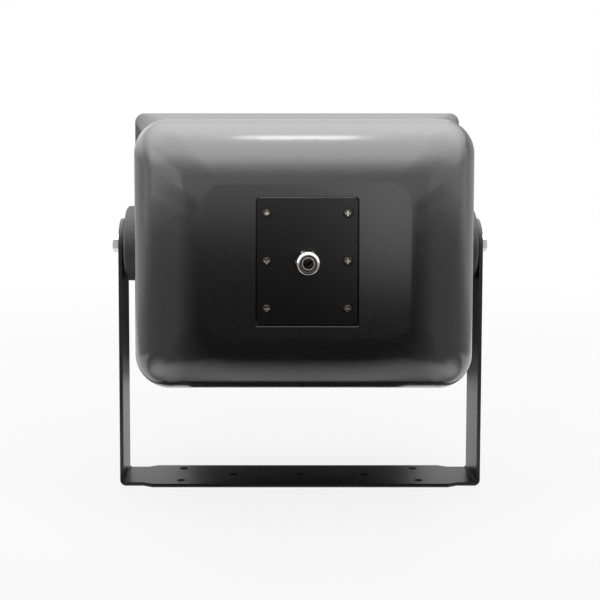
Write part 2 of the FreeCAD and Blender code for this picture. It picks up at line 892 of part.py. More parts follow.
def small_screw(length):
    return pan_screw(small_screw_radius, length, small_head_radius, small_head_high)


def transformer_screws():
    screw = small_screw(frame_thick + small_screw_reach)
    seat = transformer_base() + frame_thick
    return Part.makeCompound([place_along(screw, V(x, transformer_y, seat), UP)
                              for x in transformer_screw_places()])


# Terminal block and leads

def block_z():
    return axis_height - block_drop


def block_screw_places():
    x = block_width / 2 - block_end
    return (-x, x)


def clamp_places():
    return [clamp_pitch * step for step in (-1.5, -0.5, 0.5, 1.5)]


def terminal_block():
    inner_y = plate_back_y - block_depth
    block = box(V(-block_width / 2, inner_y, block_z() - block_height / 2),
                V(block_width / 2, plate_back_y, block_z() + block_height / 2))
    cuts = []
    for x in block_screw_places():
        cuts.append(rod(small_screw_radius + loose_gap, V(x, inner_y, block_z()), REAR, block_depth))
        cuts.append(rod(small_head_radius + loose_gap, V(x, inner_y, block_z()), REAR, block_sink))
    for x in clamp_places():
        cuts.append(rod(clamp_radius, V(x, inner_y, block_z() + clamp_rise), REAR, clamp_sink + clamp_length))
    return block.cut(cuts)


def terminal_screws():
    screw = small_screw(block_depth - block_sink + plate_thick / 2 - loose_gap)
    seat = plate_back_y - block_depth + block_sink
    return Part.makeCompound([place_along(screw, V(x, seat, block_z()), -REAR)
                              for x in block_screw_places()])


def clamp_screws():
    screw = rod(clamp_radius - fit_gap, V(0, 0, -clamp_length), UP, clamp_length)
    screw = screw.cut(cross_recess(clamp_radius, clamp_length * 0.3, 0))
    seat = plate_back_y - block_depth + clamp_sink
    return Part.makeCompound([place_along(screw, V(x, seat, block_z() + clamp_rise), -REAR)
                              for x in clamp_places()])


def lead(points):
    # A round wire through the points, with the same bend at each inner corner.
    edges = []
    start = points[0]
    for index in range(1, len(points) - 1):
        corner = points[index]
        before = (corner - points[index - 1]).normalize()
        after = (points[index + 1] - corner).normalize()
        enter = corner - before * lead_bend
        leave = corner + after * lead_bend
        middle = corner + (after - before) * lead_bend * (1 - math.cos(math.radians(45)))
        edges.append(Part.makeLine(start, enter))
        edges.append(Part.Arc(enter, middle, leave).toShape())
        start = leave
    edges.append(Part.makeLine(start, points[-1]))
    first = (points[1] - points[0]).normalize()
    profile = Part.Wire(Part.makeCircle(lead_radius, points[0], first))
    return Part.Wire(edges).makePipeShell([profile], True, False)


def winding_rear_y():
    return transformer_y + core_stack / 2 + winding_overhang


def input_leads():
    low = core_middle() - lead_split
    start_y = plate_back_y - block_depth
    turn_y = start_y - lead_bend - lead_turn_gap
    level = block_z() - lead_level_drop
    leads = []
    for x in (-input_lead_half, input_lead_half):
        leads.append(lead([V(x, start_y, level), V(x, turn_y, level), V(x, turn_y, low),
                           V(x, winding_rear_y(), low)]))
    return Part.makeCompound(leads)


def driver_leads():
    low = core_middle() + lead_split
    turn_y = tab_tip_y() + lead_bend + lead_turn_gap
    leads = []
    for x in tab_places():
        leads.append(lead([V(x, winding_rear_y(), low), V(x, turn_y, low), V(x, turn_y, tab_z()),
                           V(x, tab_tip_y(), tab_z())]))
    return Part.makeCompound(leads)


def all_parts():
    return {
        "u_bracket": u_bracket(),
        "pivot_bolts": both_sides(pivot_bolt),
        "pivot_washers": both_sides(pivot_washer),
        "friction_washers": both_sides(friction_washer),
        "pivot_inserts": both_sides(pivot_insert),
        "rear_shell": rear_shell(),
        "horn_flare": horn_flare(),
        "mouth_gasket": mouth_gasket(),
        "horn_screws": horn_screws(),
        "cover_plate": cover_plate(),
        "cover_gasket": cover_gasket(),
        "cover_screws": cover_screws(),
        "gland_washer": gland_washer(),
        "gland_body": gland_body(),
        "gland_nut": gland_nut(),
        "gland_seal": gland_seal(),
        "gland_locknut": gland_locknut(),
        "throat_gasket": throat_gasket(),
        "driver_housing": driver_housing(),
        "phase_plug": phase_plug(),
        "diaphragm": diaphragm(),
        "voice_coil": voice_coil(),
        "top_plate": top_plate(),
        "ring_magnet": ring_magnet(),
        "pole_yoke": pole_yoke(),
        "driver_bolts": driver_bolts(),
        "driver_terminal": driver_terminal(),
        "driver_tabs": driver_tabs(),
        "transformer_core": transformer_core(),
        "transformer_winding": transformer_winding(),
        "transformer_frame": transformer_frame(),
        "transformer_screws": transformer_screws(),
        "terminal_block": terminal_block(),
        "terminal_screws": terminal_screws(),
        "clamp_screws": clamp_screws(),
        "input_leads": input_leads(),
        "driver_leads": driver_leads(),
    }


os.makedirs("parts", exist_ok=True)
for name, shape in all_parts().items():
    shape.exportStep("parts/" + name + ".step")
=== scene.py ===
import json
import math

import bpy
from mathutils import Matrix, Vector


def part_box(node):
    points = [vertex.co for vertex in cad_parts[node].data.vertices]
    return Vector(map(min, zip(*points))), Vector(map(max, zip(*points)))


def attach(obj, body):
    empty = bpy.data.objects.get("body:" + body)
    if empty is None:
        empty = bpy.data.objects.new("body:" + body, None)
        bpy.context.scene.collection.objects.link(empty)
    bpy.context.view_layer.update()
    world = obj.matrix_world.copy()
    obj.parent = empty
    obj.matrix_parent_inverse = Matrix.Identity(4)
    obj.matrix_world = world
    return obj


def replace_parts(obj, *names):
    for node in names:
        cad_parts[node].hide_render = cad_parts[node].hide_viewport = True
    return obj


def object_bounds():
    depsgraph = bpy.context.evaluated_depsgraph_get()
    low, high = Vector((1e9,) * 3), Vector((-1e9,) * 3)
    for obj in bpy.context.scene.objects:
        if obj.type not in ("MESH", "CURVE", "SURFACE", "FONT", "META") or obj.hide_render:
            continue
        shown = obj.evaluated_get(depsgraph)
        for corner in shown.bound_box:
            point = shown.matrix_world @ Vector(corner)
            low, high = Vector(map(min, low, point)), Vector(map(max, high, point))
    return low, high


# Horn speaker seen from behind, on a pale floor in soft studio light. Metres, in the frame of the CAD model:
# X along the tilt axis, +Y towards the rear cover and the camera, so that -X is on the picture's right.

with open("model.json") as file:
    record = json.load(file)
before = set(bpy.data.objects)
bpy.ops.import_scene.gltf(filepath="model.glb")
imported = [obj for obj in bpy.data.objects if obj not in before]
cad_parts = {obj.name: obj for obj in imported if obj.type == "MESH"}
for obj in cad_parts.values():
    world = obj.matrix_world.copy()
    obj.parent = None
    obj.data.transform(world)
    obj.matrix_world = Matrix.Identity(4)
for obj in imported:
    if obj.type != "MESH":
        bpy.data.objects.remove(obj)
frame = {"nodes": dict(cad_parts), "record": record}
cad_low, cad_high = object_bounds()
cover_low, cover_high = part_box("cover_plate")
MM = 0.001
WHITE = (1.0, 1.0, 1.0, 1.0)

# Camera, from the photograph's perspective
CAMERA_PLACE = Vector((33.76, 822.09, 269.88)) * MM
CAMERA_PITCH = -0.06
CAMERA_LENS = 58.46
CAMERA_SENSOR = 36.0
CAMERA_SHIFT = (0.0672, -0.1311)
CAMERA_CLIP = 0.01

# Noise in the finishes
NOISE_RANGE = (0.3, 0.7)
NOISE_ROUGHNESS = 0.55
TONE_DETAIL = 3.0
GRAIN_DETAIL = 2.0

# Finishes. A grain is its scale, strength and depth.
SHELL_TONE_SCALE = 1100.0
SHELL_TONE_RANGE = (0.35, 0.65)
SHELL_COLOURS = ((0.0035, 0.0035, 0.0036), (0.0165, 0.0169, 0.0175))
SHELL_GLOSS_SCALE = 900.0
SHELL_ROUGHNESS = (0.14, 0.17)
SHELL_SPECULAR = 1.0
SHELL_GRAIN = (1500.0, 0.06, 0.3 * MM)
BOSS_SIDE = (0.1332, 0.134)
BOSS_FRONT = (-0.04, -0.036)
BOSS_ROUGHNESS = 0.62

PLATE_TONE_SCALE = 300.0
PLATE_COLOURS = ((0.0045, 0.0045, 0.0047), (0.006, 0.006, 0.0062))
PLATE_GLOSS_SCALE = 900.0
PLATE_ROUGHNESS = (0.17, 0.21)
PLATE_SPECULAR = 0.42
PLATE_GRAIN = (3200.0, 0.08, 0.04 * MM)
# Painted highlight: a pale metallic band along the rear cover's upper edge
PAINTED_HIGHLIGHT_COLOUR = (0.62, 0.62, 0.6)
PAINTED_HIGHLIGHT_ROUGHNESS = 0.45

PAINT_TONE_SCALE = 180.0
PAINT_COLOUR = (0.008, 0.0081, 0.0083)
PAINT_LIGHTER = 1.25
PAINT_GLOSS_SCALE = 700.0
PAINT_ROUGHNESS = (0.3, 0.39)
PAINT_GRAIN = (2600.0, 0.2, 0.02 * MM)

SCREW_AND_PAINTED_GLINT_COLOURS = ((0.07, 0.066, 0.058), (0.95, 0.88, 0.72))
SCREW_GLOSS_SCALE = 2400.0
SCREW_ROUGHNESS = (0.16, 0.26)
SCREW_GRAIN = (3600.0, 0.12, 0.1 * MM)
# Painted glints: pale colour at the bottom of the screws' cross recesses, by depth and noise
PAINTED_GLINT_DEPTHS = ((-1.4 * MM, 0.0), (-1.3 * MM, 1.0), (-1.1 * MM, 1.0), (-1.0 * MM, 0.0))
PAINTED_GLINT_SCALE = 600.0
PAINTED_GLINT_RANGE = (0.4, 0.6)
PAINTED_GLINT_LEVELS = (0.2, 1.0)

# Plain metals and matt stuffs: colour, roughness and scale of the noise. Their grain is strength and depth.
GLOSS_FINER = 2
METALS = {
    "bright_zinc": ((0.86, 0.86, 0.84), 0.34, 900.0),
    "nickel": ((0.88, 0.85, 0.8), 0.17, 700.0),
    "plain_brass": ((0.72, 0.53, 0.22), 0.28, 900.0),
    "cast_aluminium": ((0.6, 0.6, 0.61), 0.45, 600.0),
    "copper": ((0.6, 0.28, 0.14), 0.32, 900.0),
    "core_steel": ((0.22, 0.21, 0.2), 0.5, 700.0),
}
METAL_DARKER = 0.82
METAL_SPREAD = (0.8, 1.25)
METAL_GRAIN = (0.12, 0.1 * MM)
METAL_GRAIN_FINER = 3
MATTES = {
    "black_rubber": ((0.009, 0.009, 0.009), 0.4, 800.0),
    "inner_plastic": ((0.05, 0.05, 0.05), 0.5, 900.0),
    "amber_film": ((0.45, 0.22, 0.05), 0.35, 500.0),
    "ferrite": ((0.08, 0.08, 0.085), 0.6, 700.0),
    "lead_cover": ((0.3, 0.03, 0.02), 0.45, 900.0),
}
MATTE_DARKER = 0.75
MATTE_SPREAD = 0.06
MATTE_GRAIN = (0.2, 0.2 * MM)
MATTE_GRAIN_FINER = 4

# Edges of the rear cover
COVER_HALF_WIDTH = cover_high.x
COVER_HALF_HEIGHT = (cover_high.z - cover_low.z) / 2
COVER_MIDDLE = (cover_low.z + cover_high.z) / 2
COVER_STEP = 0.1 * MM
COVER_GAP = 0.7 * MM
# Width and blend of the painted highlight along the rear cover's upper edge
PAINTED_HIGHLIGHT_BAND = 0.6 * MM
PAINTED_HIGHLIGHT_BLEND = 0.05 * MM
LIP_ROUND = 0.45 * MM
LIP_DEPTH = 0.15 * MM
LIP_STRENGTH = 1.0

# Dome nut of the cable gland
NUT_FLATS = 15.0 * MM
NUT_TURN = math.radians(-12.0)
NUT_HEX_HIGH = 9.2 * MM
NUT_THREAD = 6.2 * MM
NUT_NECK = 3.0 * MM
NUT_MOUTH = 6.1 * MM
NUT_LIP = 0.3 * MM
NUT_DOME = 8.45 * MM
NUT_CORNER = 8.4 * MM
NUT_STEPS = 72
DOME_STEPS = 8
SHARP_ANGLE = math.radians(35.0)

# Claws of the cable gland, as shares of the seal's radius
CLAW_COUNT = 16
CLAW_OUTER = 0.77
CLAW_VALLEY = 0.69
CLAW_TIP = 0.61
CLAW_HIGH = 0.4 * MM

# World and floor
AMBIENT_LEVEL = 0.3
BACKGROUND_LEVEL = 1.0
FLOOR_HALF = 6.0
FLOOR_DROP = 0.2 * MM
FLOOR_COLOUR = (0.86, 0.86, 0.86, 1.0)
FLOOR_ROUGHNESS = 0.8
FLOOR_GLOW = 1.0
FLOOR_SHADE_REACH = (0.3, 1.4)
FLOOR_SHADE = (0.85, 1.0)

# Cards that the gloss mirrors: their places, and their brightness as stops of place and level
CARD_LIFT = 1.0 * MM
GROUND_HALF = 5.5
GROUND_NEAR = 0.0
GROUND_FAR = 4.7
GROUND_CLOSEST = 0.1
GROUND_SLOPES = (0.3, 1.1)
GROUND_GREYS = (0.03, 0.38)
GROUND_BEND = ((0.05, 0.0), (0.1, 0.035), (0.17, 0.035), (0.22, 0.0))
GROUND_AHEAD = ((0.0, 0.15), (0.05, 0.8), (0.08, 1.0), (0.12, 1.0), (0.2, 0.0))
GROUND_ACROSS = (
    (0.0, 0.62), (0.1, 0.8), (0.2, 1.5), (0.25, 1.4), (0.28, 0.9), (0.32, 0.65), (0.38, 0.25), (0.45, 0.0),
)
BESIDE_NEAR = 0.25
BESIDE_FAR = -1.2
BESIDE_AHEAD = (-0.1, -1.2)
BESIDE_GREYS = (0.36, 0.7)
BESIDE_PALE = (0.45, 0.7)
SKY_HALF = 4.5
SKY_DEPTH = 3.0
SKY_HEIGHT = 1.1
SKY_LEAST = 1.0
SKY_AHEAD = (
    (-3.0, 0.0), (-1.7, 0.3), (-1.2, 0.7), (-0.62, 2.0), (-0.28, 3.1), (-0.05, 3.2),
    (0.3, 3.0), (0.55, 2.8), (0.75, 2.2), (1.1, 1.1), (1.8, 0.3), (3.0, 0.0),
)
SKY_ACROSS = (
    (-4.5, 0.13), (-3.0, 0.22), (-2.1, 0.36), (-1.3, 0.68), (-0.9, 0.88), (-0.5, 0.97), (0.0, 1.0),
    (0.5, 0.98), (0.9, 0.9), (1.3, 0.75), (2.1, 0.46), (3.0, 0.3), (4.5, 0.17),
)
FILL_Y = 1.6
FILL_ACROSS = (
    (-0.5, 0.0), (-0.4, 0.2), (-0.35, 0.5), (-0.32, 0.9), (-0.285, 1.0), (-0.24, 0.85), (-0.18, 0.5), (-0.06, 0.0),
)
FILL_UPWARDS = ((0.0, 0.6), (0.06, 1.1), (0.1, 1.2), (0.14, 1.05), (0.22, 0.6), (0.36, 0.0))
WALL_NEAR = (1.28, -0.53)
WALL_FAR = (0.47, -1.2)
WALL_HIGH = 0.8
WALL_SIDES = (0.5, 1.3)
WALL_GREYS = (0.55, 0.7)
WALL_TOP = (0.3, 0.65)
WALL_RISE = {-1: 0.0, 1: 1.2}
DARK_COLOURS = ((0.004, 0.004, 0.004), (0.006, 0.006, 0.006))
DARK_TONE_SCALE = 3.0
DARK_ROUGHNESS = 0.9
# Painted shadow: dark cards that reflections see on the floor under the shell
PAINTED_SHADOW_HALF = 0.1
PAINTED_SHADOW_FRONT = -0.1
PAINTED_SHADOW_REAR = 0.0
PAINTED_SHADOW_EDGE_HALF = 0.155
PAINTED_SHADOW_EDGE_FAR = 0.045
PAINTED_SHADOW_EDGE_LIFT = 0.5 * MM
BEHIND_Y = -0.3
BEHIND_LEFT = 0.12
BEHIND_RIGHT = -0.15
BEHIND_LOW = 0.02
BEHIND_HIGH = 0.29

# Lamps: place, target, size and energy
KEY_LAMP = ((0.0, 0.3, 1.6), (0.0, 0.0, 0.15), (1.6, 1.6), 14.0)
OVERHEAD_LAMP = ((-0.03, -0.07, 1.08), (-0.03, -0.07, 0.0), (0.18, 0.12), 0.36)
SIDE_REACH = 1.4
SIDE_TARGET = (0.0, 0.9, 0.6)
SIDE_SIZE = (2.0, 0.8)
SIDE_ENERGY = {-1: 1.5, 1: 3.3}


# Node building

def new_material(name):
    material = bpy.data.materials.new(name)
    material.use_nodes = True
    tree = material.node_tree
    return material, tree, tree.nodes["Principled BSDF"]


def add(tree, kind, **settings):
    node = tree.nodes.new(kind)
    for key, value in settings.items():
        setattr(node, key, value)
    return node


def object_space(tree):
    return add(tree, "ShaderNodeTexCoord").outputs["Object"]


def noise(tree, scale, detail):
    node = add(tree, "ShaderNodeTexNoise")
    node.inputs["Scale"].default_value = scale
    node.inputs["Detail"].default_value = detail
    node.inputs["Roughness"].default_value = NOISE_ROUGHNESS
    tree.links.new(object_space(tree), node.inputs["Vector"])
    return node.outputs["Fac"]


def ramp(tree, source, low, high, at_low, at_high):
    node = add(tree, "ShaderNodeMapRange")
    tree.links.new(source, node.inputs["Value"])
    node.inputs["From Min"].default_value = low
    node.inputs["From Max"].default_value = high
    node.inputs["To Min"].default_value = at_low
    node.inputs["To Max"].default_value = at_high
    return node.outputs["Result"]


def mottled(tree, scale, at_low=0.0, at_high=1.0, within=NOISE_RANGE):
    # Noise that runs between two levels.
    return ramp(tree, noise(tree, scale, TONE_DETAIL), *within, at_low, at_high)


def mix_colour(tree, factor, first, second):
    node = add(tree, "ShaderNodeMix", data_type="RGBA")
    tree.links.new(factor, node.inputs["Factor"])
    for socket, value in ((node.inputs["A"], first), (node.inputs["B"], second)):
        if isinstance(value, tuple):
            socket.default_value = (*value, 1.0)
        else:
            tree.links.new(value, socket)
    return node.outputs["Result"]


def mix_shaders(tree, factor, first, second):
    node = add(tree, "ShaderNodeMixShader")
    tree.links.new(factor, node.inputs["Fac"])
    tree.links.new(first, node.inputs[1])
    tree.links.new(second, node.inputs[2])
    return node.outputs["Shader"]


def calculate(tree, operation, first, second=None):
    node = add(tree, "ShaderNodeMath", operation=operation)
    tree.links.new(first, node.inputs[0])
    if isinstance(second, float):
        node.inputs[1].default_value = second
    elif second is not None:
        tree.links.new(second, node.inputs[1])
    return node.outputs["Value"]


def coordinate(tree, axis):
    apart = add(tree, "ShaderNodeSeparateXYZ")
    tree.links.new(object_space(tree), apart.inputs["Vector"])
    return apart.outputs[axis]


def sideways(tree):
    return calculate(tree, "ABSOLUTE", coordinate(tree, "X"))


def graded(tree, source, stops):
    # A level that runs in straight lines through the (place, level) stops.
    node = add(tree, "ShaderNodeValToRGB")
    first, last = stops[0][0], stops[-1][0]
    top = max(level for _, level in stops)
    tree.links.new(ramp(tree, source, first, last, 0.0, 1.0), node.inputs["Fac"])
    points = node.color_ramp.elements
    for place, _ in stops[1:-1]:
        points.new((place - first) / (last - first))
    for point, (_, level) in zip(points, stops):
        share = level / top
        point.color = (share, share, share, 1.0)
    return calculate(tree, "MULTIPLY", node.outputs["Color"], float(top))


def bump(tree, shader, height, strength, distance, under=None):
    node = add(tree, "ShaderNodeBump")
    node.inputs["Strength"].default_value = strength
    node.inputs["Distance"].default_value = distance
    tree.links.new(height, node.inputs["Height"])
    if under is not None:
        tree.links.new(under.outputs["Normal"], node.inputs["Normal"])
    tree.links.new(node.outputs["Normal"], shader.inputs["Normal"])
    return node


def grain(tree, shader, scale, strength, depth):
    return bump(tree, shader, noise(tree, scale, GRAIN_DETAIL), strength, depth)


def above_cover(tree):
    # Height above the middle of the rear cover.
    return calculate(tree, "SUBTRACT", coordinate(tree, "Z"), COVER_MIDDLE)


def at_cover(tree):
    # 1 from the rear cover's inner face to the rear, 0 in front of it.
    return ramp(tree, coordinate(tree, "Y"), cover_low.y, cover_low.y + COVER_STEP, 0.0, 1.0)


# Materials, for the slots of the record

def boss_dullness(tree):
    # The round side bosses are duller than the rest of the shell.
    beside = ramp(tree, sideways(tree), *BOSS_SIDE, 0.0, BOSS_ROUGHNESS)
    return calculate(tree, "MULTIPLY", beside, ramp(tree, coordinate(tree, "Y"), *BOSS_FRONT, 0.0, 1.0))


def cover_lip(tree):
    # 1 along the rounded edge of the shell below the rear cover, 0 elsewhere.
    below = calculate(tree, "MULTIPLY", above_cover(tree), -1.0)
    below = calculate(tree, "SUBTRACT", below, COVER_HALF_HEIGHT + COVER_GAP)
    lip = graded(tree, below, ((-2 * LIP_ROUND, 0.0), (-LIP_ROUND, 1.0), (0.0, 1.0), (LIP_ROUND, 0.0)))
    in_width = ramp(tree, sideways(tree), COVER_HALF_WIDTH, COVER_HALF_WIDTH + COVER_GAP, 1.0, 0.0)
    return calculate(tree, "MULTIPLY", lip, calculate(tree, "MULTIPLY", in_width, at_cover(tree)))


def shell_plastic(name):
    material, tree, shader = new_material(name)
    tone = mottled(tree, SHELL_TONE_SCALE, within=SHELL_TONE_RANGE)
    tree.links.new(mix_colour(tree, tone, *SHELL_COLOURS), shader.inputs["Base Color"])
    gloss = mottled(tree, SHELL_GLOSS_SCALE, *SHELL_ROUGHNESS)
    tree.links.new(calculate(tree, "MAXIMUM", gloss, boss_dullness(tree)), shader.inputs["Roughness"])
    shader.inputs["Specular IOR Level"].default_value = SHELL_SPECULAR
    fine = grain(tree, shader, *SHELL_GRAIN)
    bump(tree, shader, calculate(tree, "MULTIPLY", cover_lip(tree), -1.0), LIP_STRENGTH, LIP_DEPTH, fine)
    return material


def black_aluminium(name):
    # Black on the faces, with a painted highlight along the upper edge of the rear cover: a pale metallic band
    # there only.
    material, tree, shader = new_material(name)
    edge = COVER_HALF_HEIGHT - PAINTED_HIGHLIGHT_BAND
    painted_highlight = ramp(tree, above_cover(tree), edge, edge + PAINTED_HIGHLIGHT_BLEND, 0.0, 1.0)
    painted_highlight = calculate(tree, "MULTIPLY", painted_highlight, at_cover(tree))
    black = mix_colour(tree, mottled(tree, PLATE_TONE_SCALE), *PLATE_COLOURS)
    tree.links.new(mix_colour(tree, painted_highlight, black, PAINTED_HIGHLIGHT_COLOUR), shader.inputs["Base Color"])
    tree.links.new(painted_highlight, shader.inputs["Metallic"])
    shader.inputs["Specular IOR Level"].default_value = PLATE_SPECULAR
    satin = mottled(tree, PLATE_GLOSS_SCALE, *PLATE_ROUGHNESS)
    dull = ramp(tree, painted_highlight, 0.0, 1.0, 0.0, PAINTED_HIGHLIGHT_ROUGHNESS)
    tree.links.new(calculate(tree, "MAXIMUM", satin, dull), shader.inputs["Roughness"])
    grain(tree, shader, *PLATE_GRAIN)
    return material


def dark_steel(name):
    # Blackened screws, with a painted glint: pale at the bottom of the cross recess.
    material, tree, shader = new_material(name)
    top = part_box("cover_screws")[1].y
    painted_glint = graded(tree, calculate(tree, "SUBTRACT", coordinate(tree, "Y"), top), PAINTED_GLINT_DEPTHS)
    painted_glint = calculate(tree, "MULTIPLY", painted_glint, mottled(tree, PAINTED_GLINT_SCALE, *PAINTED_GLINT_LEVELS, within=PAINTED_GLINT_RANGE))
    tree.links.new(mix_colour(tree, painted_glint, *SCREW_AND_PAINTED_GLINT_COLOURS), shader.inputs["Base Color"])
    shader.inputs["Metallic"].default_value = 1.0
    tree.links.new(mottled(tree, SCREW_GLOSS_SCALE, *SCREW_ROUGHNESS), shader.inputs["Roughness"])
    grain(tree, shader, *SCREW_GRAIN)
    return material


def plain(name, tone_scale, colours, gloss_scale, roughness, relief, metallic=0.0):
    # A finish whose colour and gloss vary a little, with a fine grain.
    material, tree, shader = new_material(name)
    tree.links.new(mix_colour(tree, mottled(tree, tone_scale), *colours), shader.inputs["Base Color"])
    tree.links.new(mottled(tree, gloss_scale, *roughness), shader.inputs["Roughness"])
    shader.inputs["Metallic"].default_value = metallic
    grain(tree, shader, *relief)
    return material


def scaled(values, factor):
    return tuple(value * factor for value in values)


def black_paint(name):
    colours = (PAINT_COLOUR, scaled(PAINT_COLOUR, PAINT_LIGHTER))
    return plain(name, PAINT_TONE_SCALE, colours, PAINT_GLOSS_SCALE, PAINT_ROUGHNESS, PAINT_GRAIN)


def metal(name, colour, rough, scale):
    colours = (scaled(colour, METAL_DARKER), colour)
    relief = (scale * METAL_GRAIN_FINER, *METAL_GRAIN)
    return plain(name, scale, colours, scale * GLOSS_FINER, scaled(METAL_SPREAD, rough), relief, 1.0)


def matte(name, colour, rough, scale):
    colours = (scaled(colour, MATTE_DARKER), colour)
    roughness = (rough - MATTE_SPREAD, rough + MATTE_SPREAD)
    relief = (scale * MATTE_GRAIN_FINER, *MATTE_GRAIN)
    return plain(name, scale, colours, scale * GLOSS_FINER, roughness, relief)


def make_materials():
    materials = {
        "shell_plastic": shell_plastic("shell_plastic"),
        "black_aluminium": black_aluminium("black_aluminium"),
        "dark_steel": dark_steel("dark_steel"),
        "black_paint": black_paint("black_paint"),
    }
    for slot, look in METALS.items():
        materials[slot] = metal(slot, *look)
    for slot, look in MATTES.items():
        materials[slot] = matte(slot, *look)
    return materials


def dress_nodes(materials):
    for subpart in frame["record"]["subparts"]:
        mesh = frame["nodes"][subpart["node"]].data
        for index in range(len(mesh.materials)):
            mesh.materials[index] = materials[subpart["material_slot"]]


# Details

def place_piece(name, points, faces, material, smooth=False):
    mesh = bpy.data.meshes.new(name)
    mesh.from_pydata(points, [], faces)
    mesh.materials.append(material)
    if smooth:
        mesh.shade_smooth()
        mesh.set_sharp_from_angle(angle=SHARP_ANGLE)
    piece = bpy.data.objects.new(name, mesh)
    bpy.context.scene.collection.objects.link(piece)
    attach(piece, "speaker")
    return piece


def on_ring(middle, radius, turn, y):
    return (middle.x + radius * math.cos(turn), y, middle.z + radius * math.sin(turn))


def hex_radius(turn):
    # Distance from the axis to a side of the nut's hexagon, whose corners are turned down.
    sixth = math.pi / 3
    return min(NUT_CORNER, NUT_FLATS / 2 / math.cos((turn - NUT_TURN) % sixth - sixth / 2))


def make_nut(material):
    # The gland's nut as one turned form: a hexagon below, and a full round dome down to the mouth.
    low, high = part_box("gland_nut")
    middle = (low + high) / 2
    back = low.y
    shoulder = back + NUT_HEX_HIGH
    crown = NUT_MOUTH + NUT_LIP
    rings = [(back, NUT_THREAD), (back, None), (shoulder, None), (shoulder, NUT_DOME)]
    for step in range(1, DOME_STEPS + 1):
        turn = math.pi / 2 * step / DOME_STEPS
        rings.append((shoulder + (high.y - shoulder) * math.sin(turn), crown + (NUT_DOME - crown) * math.cos(turn)))
    rings += [(high.y, NUT_MOUTH), (back + NUT_NECK, NUT_MOUTH), (back + NUT_NECK, NUT_THREAD)]
    points = []
    faces = []
    for ring, (y, radius) in enumerate(rings):
        here, after = ring * NUT_STEPS, (ring + 1) % len(rings) * NUT_STEPS
        for step in range(NUT_STEPS):
            turn = 2 * math.pi * step / NUT_STEPS
            points.append(on_ring(middle, radius or hex_radius(turn), turn, y))
            ahead = (step + 1) % NUT_STEPS
            faces.append((here + step, after + step, after + ahead, here + ahead))
    return place_piece("gland_dome_nut", points, faces, material, smooth=True)


def make_claws(material):
    # The toothed ring in the mouth of the cable gland, on the face of its seal.
    low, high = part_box("gland_seal")
    middle = (low + high) / 2
    radius = (high.x - low.x) / 2
    face, top = high.y, high.y + CLAW_HIGH
    steps = CLAW_COUNT * 2
    points = []
    faces = []
    for step in range(steps):
        turn = 2 * math.pi * step / steps
        inner = CLAW_TIP if step % 2 else CLAW_VALLEY
        section = ((CLAW_OUTER, face), (CLAW_OUTER, top), (inner, top), (inner, face))
        points += [on_ring(middle, radius * share, turn, y) for share, y in section]
        here, ahead = step * 4, (step + 1) % steps * 4
        for corner in range(4):
            after = (corner + 1) % 4
            faces.append((here + corner, here + after, ahead + after, ahead + corner))
    place_piece("gland_claws", points, faces, material)


# Stage

def seen_directly(tree):
    # 1 for camera, glossy and transmission rays, 0 for the rest.
    path = add(tree, "ShaderNodeLightPath")
    seen = path.outputs["Is Camera Ray"]
    for other in ("Is Glossy Ray", "Is Transmission Ray"):
        seen = calculate(tree, "MAXIMUM", seen, path.outputs[other])
    return seen


def white_world():
    # White where it is seen, and a dim ambient light for the rest.
    world = bpy.data.worlds.new("studio")
    bpy.context.scene.world = world
    world.use_nodes = True
    tree = world.node_tree
    tree.nodes.clear()
    levels = []
    for strength in (AMBIENT_LEVEL, BACKGROUND_LEVEL):
        node = add(tree, "ShaderNodeBackground")
        node.inputs["Color"].default_value = WHITE
        node.inputs["Strength"].default_value = strength
        levels.append(node.outputs["Background"])
    output = add(tree, "ShaderNodeOutputWorld")
    tree.links.new(mix_shaders(tree, seen_directly(tree), *levels), output.inputs["Surface"])


def floor_material():
    # White where it is seen, apart from a share near the object that takes its shadow.
    material, tree, shader = new_material("pale_floor")
    shader.inputs["Base Color"].default_value = FLOOR_COLOUR
    shader.inputs["Roughness"].default_value = FLOOR_ROUGHNESS
    glow = add(tree, "ShaderNodeEmission")
    glow.inputs["Color"].default_value = WHITE
    glow.inputs["Strength"].default_value = FLOOR_GLOW
    reach = add(tree, "ShaderNodeVectorMath", operation="LENGTH")
    tree.links.new(object_space(tree), reach.inputs[0])
    fade = ramp(tree, reach.outputs["Value"], *FLOOR_SHADE_REACH, *FLOOR_SHADE)
    share = calculate(tree, "MULTIPLY", seen_directly(tree), fade)
    both = mix_shaders(tree, share, shader.outputs["BSDF"], glow.outputs["Emission"])
    tree.links.new(both, tree.nodes["Material Output"].inputs["Surface"])
    return material


def upright(left, right, y, low, high):
    return [(left, y, low), (right, y, low), (right, y, high), (left, y, high)]


def lying(left, right, z, front, rear):
    return [(left, front, z), (right, front, z), (right, rear, z), (left, rear, z)]


def card(name, corners, material):
    mesh = bpy.data.meshes.new(name)
    mesh.from_pydata(corners, [], [tuple(range(len(corners)))])
    mesh.materials.append(material)
    obj = bpy.data.objects.new(name, mesh)
    bpy.context.scene.collection.objects.link(obj)
    return obj


def make_floor():
    corners = lying(-FLOOR_HALF, FLOOR_HALF, cad_low.z - FLOOR_DROP, -FLOOR_HALF, FLOOR_HALF)
    card("floor", corners, floor_material())


def dark_material():
    material, tree, shader = new_material("dark_card")
    colour = mix_colour(tree, mottled(tree, DARK_TONE_SCALE), *DARK_COLOURS)
    tree.links.new(colour, shader.inputs["Base Color"])
    shader.inputs["Roughness"].default_value = DARK_ROUGHNESS
    shader.inputs["Specular IOR Level"].default_value = 0.0
    return material


def glowing_material(name):
    material, tree, shader = new_material(name)
    tree.nodes.remove(shader)
    glow = add(tree, "ShaderNodeEmission")
    tree.links.new(glow.outputs["Emission"], tree.nodes["Material Output"].inputs["Surface"])
    return material, tree, glow.inputs["Strength"]


